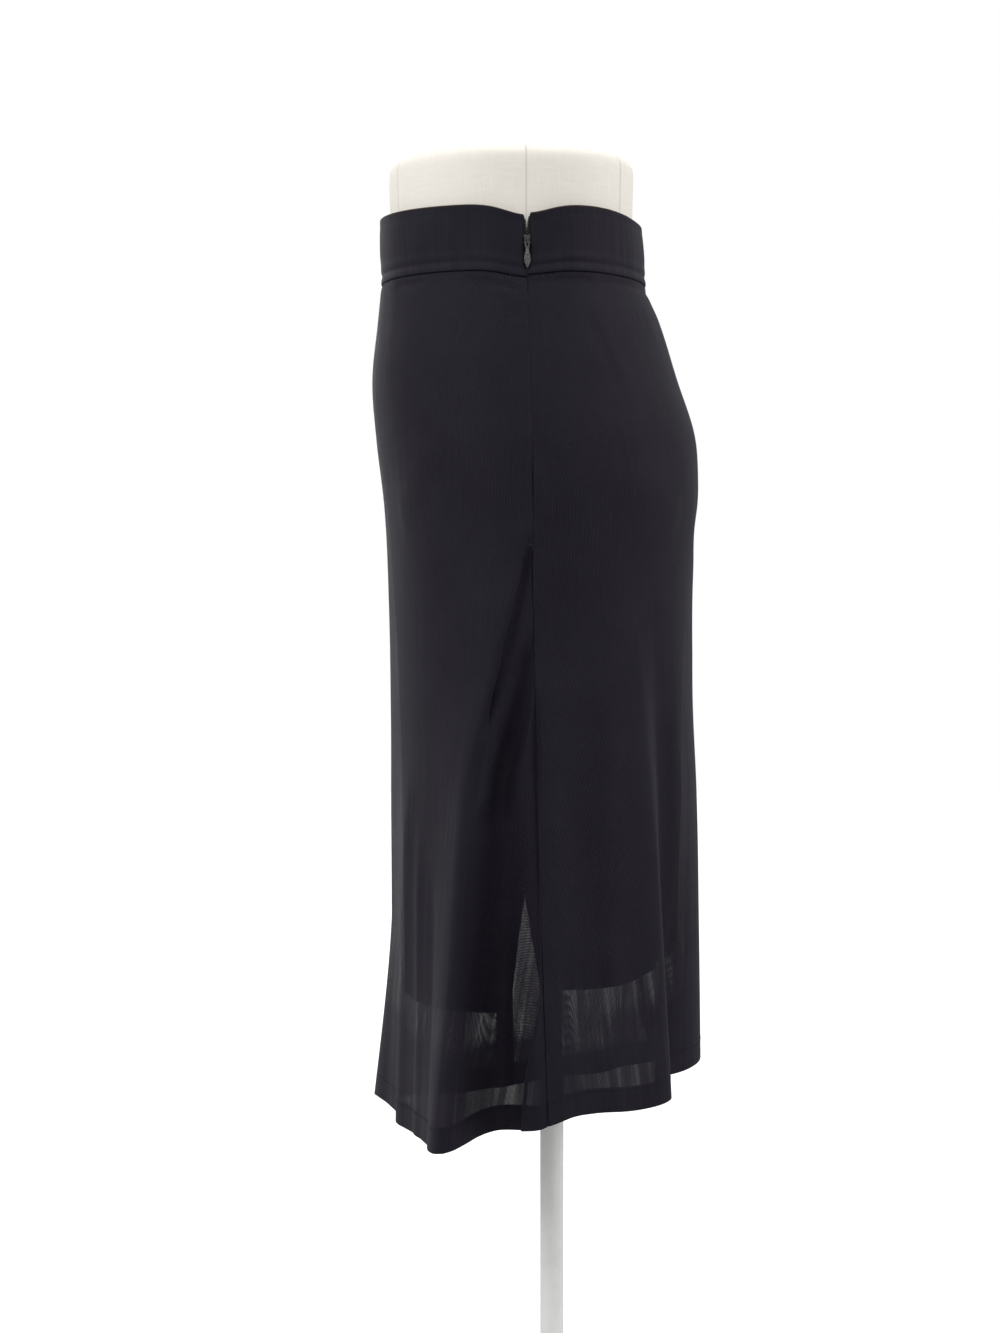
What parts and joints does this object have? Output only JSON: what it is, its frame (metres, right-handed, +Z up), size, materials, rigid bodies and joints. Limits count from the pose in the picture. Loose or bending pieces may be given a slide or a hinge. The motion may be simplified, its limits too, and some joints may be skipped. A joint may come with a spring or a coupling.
{
  "type": "sheer skirt on a dress form",
  "caption": "A-line sheer knit midi skirt with a wide waistband, side zip and shorter slit lining, shown on a skirt form with pole and round foot.",
  "frame": {"origin": "centre of the stand's round foot, on its underside, at floor level", "axes": "+Z up, the garment's front faces -Y, and its zipped side, the wearer's left, faces +X"},
  "size_m": [0.4527, 0.31, 1.0145],
  "materials": {
    "black_knit": "fine sheer knit, soft sheen",
    "black_lining": "smooth opaque lining",
    "zip_tape": "woven tape",
    "zip_metal": "dark satin metal",
    "form_linen": "cream linen",
    "stand_paint": "pale satin paint"
  },
  "bodies": {
    "garment": {"waistband_front": "black_knit", "waistband_back": "black_knit", "skirt_front": "black_knit", "skirt_back": "black_knit", "lining_front": "black_lining", "lining_back": "black_lining", "zip_tape_front": "zip_tape", "zip_tape_back": "zip_tape", "zip_slider": "zip_metal", "form_body": "form_linen", "stand_pole": "stand_paint", "stand_foot": "stand_paint"},
    "pull": {"zip_pull": "zip_metal"}
  },
  "joints": [
    {"name": "pull_swing", "type": "hinge", "parent": "garment", "child": "pull", "pos_m": [0.12276, -0.031, 0.94092], "axis": [0, -1, 0], "range_deg": [0, 130]}
  ]
}
